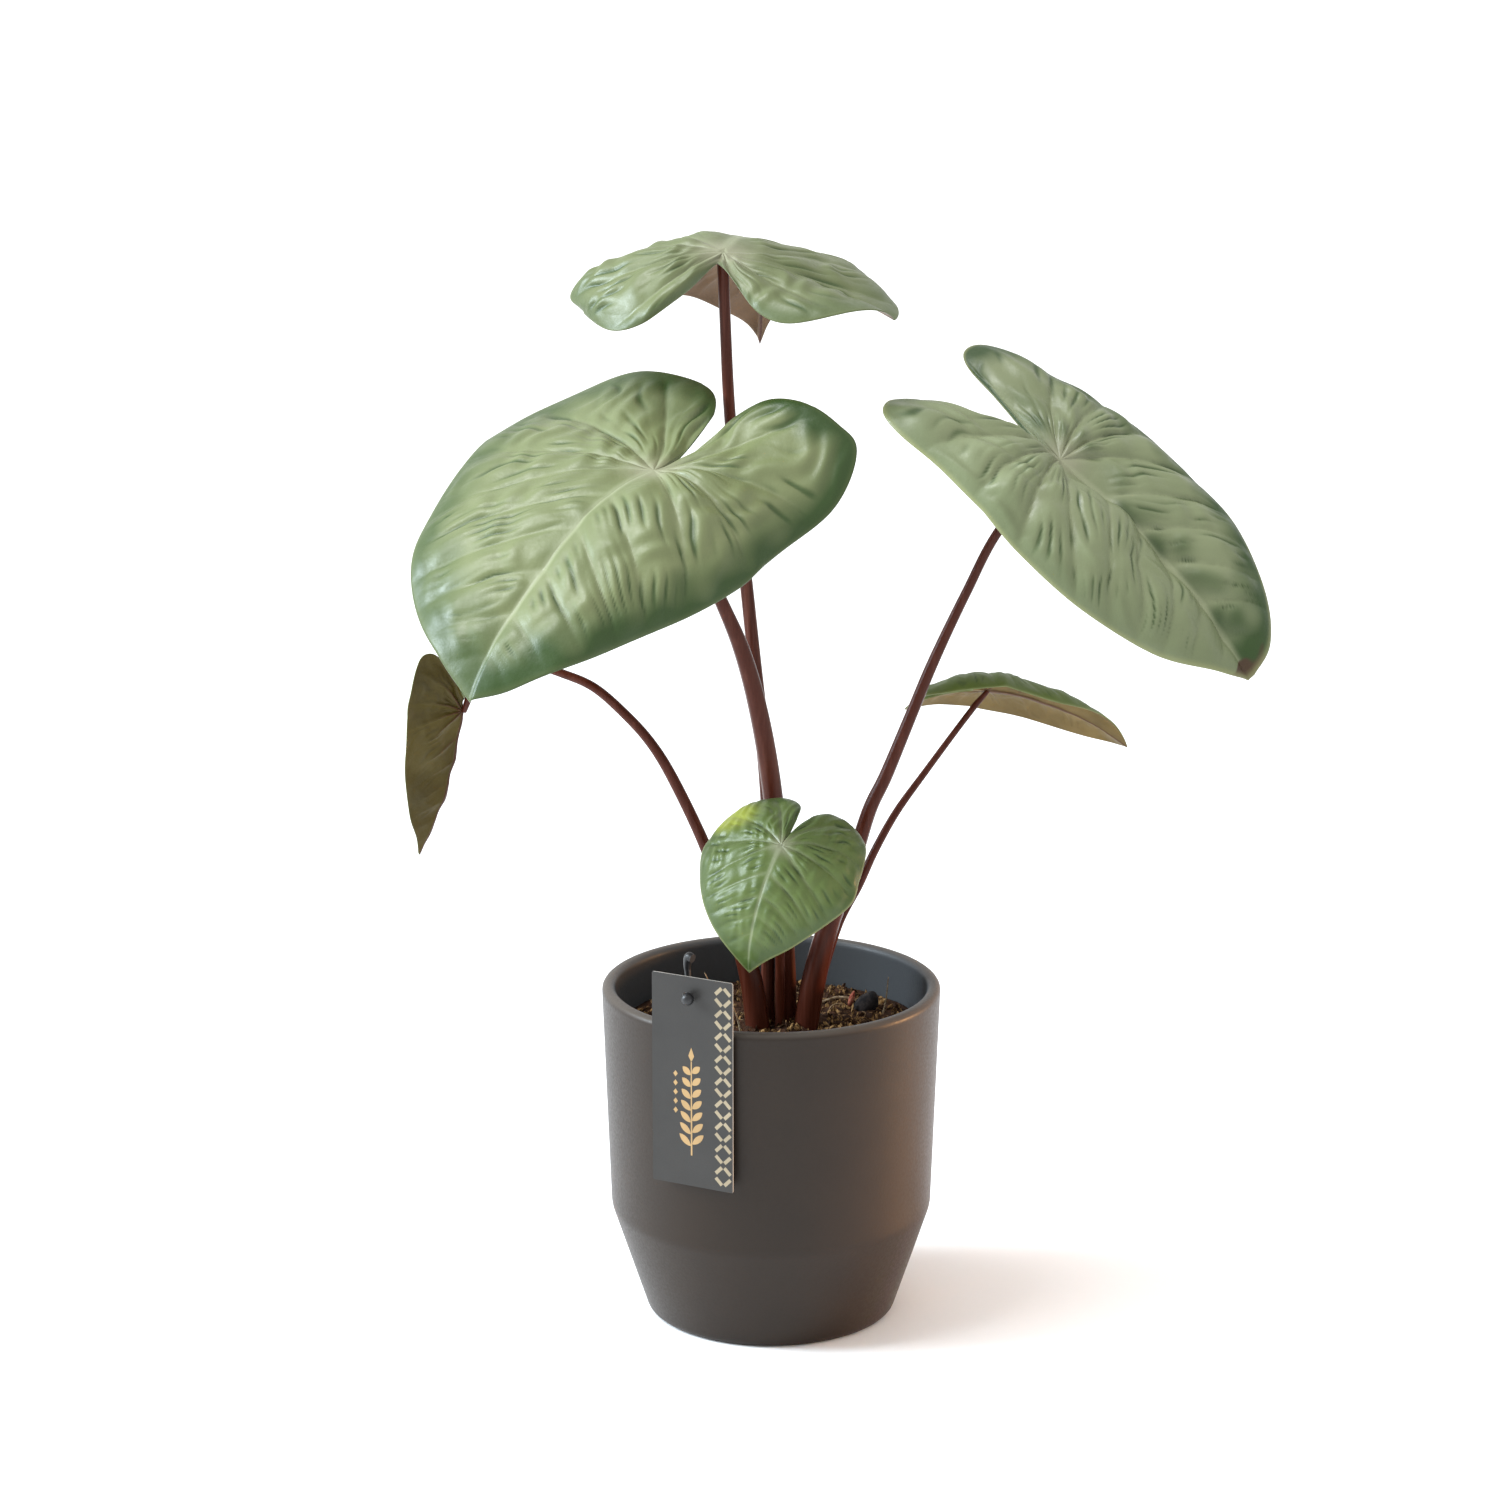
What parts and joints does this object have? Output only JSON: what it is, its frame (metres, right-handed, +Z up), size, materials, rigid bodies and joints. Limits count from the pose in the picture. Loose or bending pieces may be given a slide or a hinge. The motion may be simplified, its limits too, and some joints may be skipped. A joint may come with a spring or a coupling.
{
  "type": "potted alocasia",
  "caption": "Broad arrow- and heart-shaped leaves on long dark stalks rising from a tapered matte ceramic pot with a plain hanging label.",
  "frame": {"origin": "middle of the pot's flat underside, where it rests", "axes": "+Z up the pot's axis, -Y the front where the label hangs, +X to the right seen from the front"},
  "size_m": [0.3521, 0.2435, 0.4443],
  "materials": {
    "pot_ceramic": "matte",
    "soil": "matte",
    "corm": "matte",
    "petiole": "satin",
    "leaf": "satin",
    "label_card": "satin",
    "black_plastic": "satin"
  },
  "bodies": {
    "root": {"pot": "pot_ceramic", "soil": "soil", "corm": "corm", "petiole_1": "petiole", "petiole_2": "petiole", "petiole_3": "petiole", "petiole_4": "petiole", "petiole_5": "petiole", "petiole_6": "petiole", "leaf_1": "leaf", "leaf_2": "leaf", "leaf_3": "leaf", "leaf_4": "leaf", "leaf_5": "leaf", "leaf_6": "leaf", "label_card": "label_card", "label_stake": "black_plastic", "label_knob": "black_plastic"}
  },
  "joints": []
}
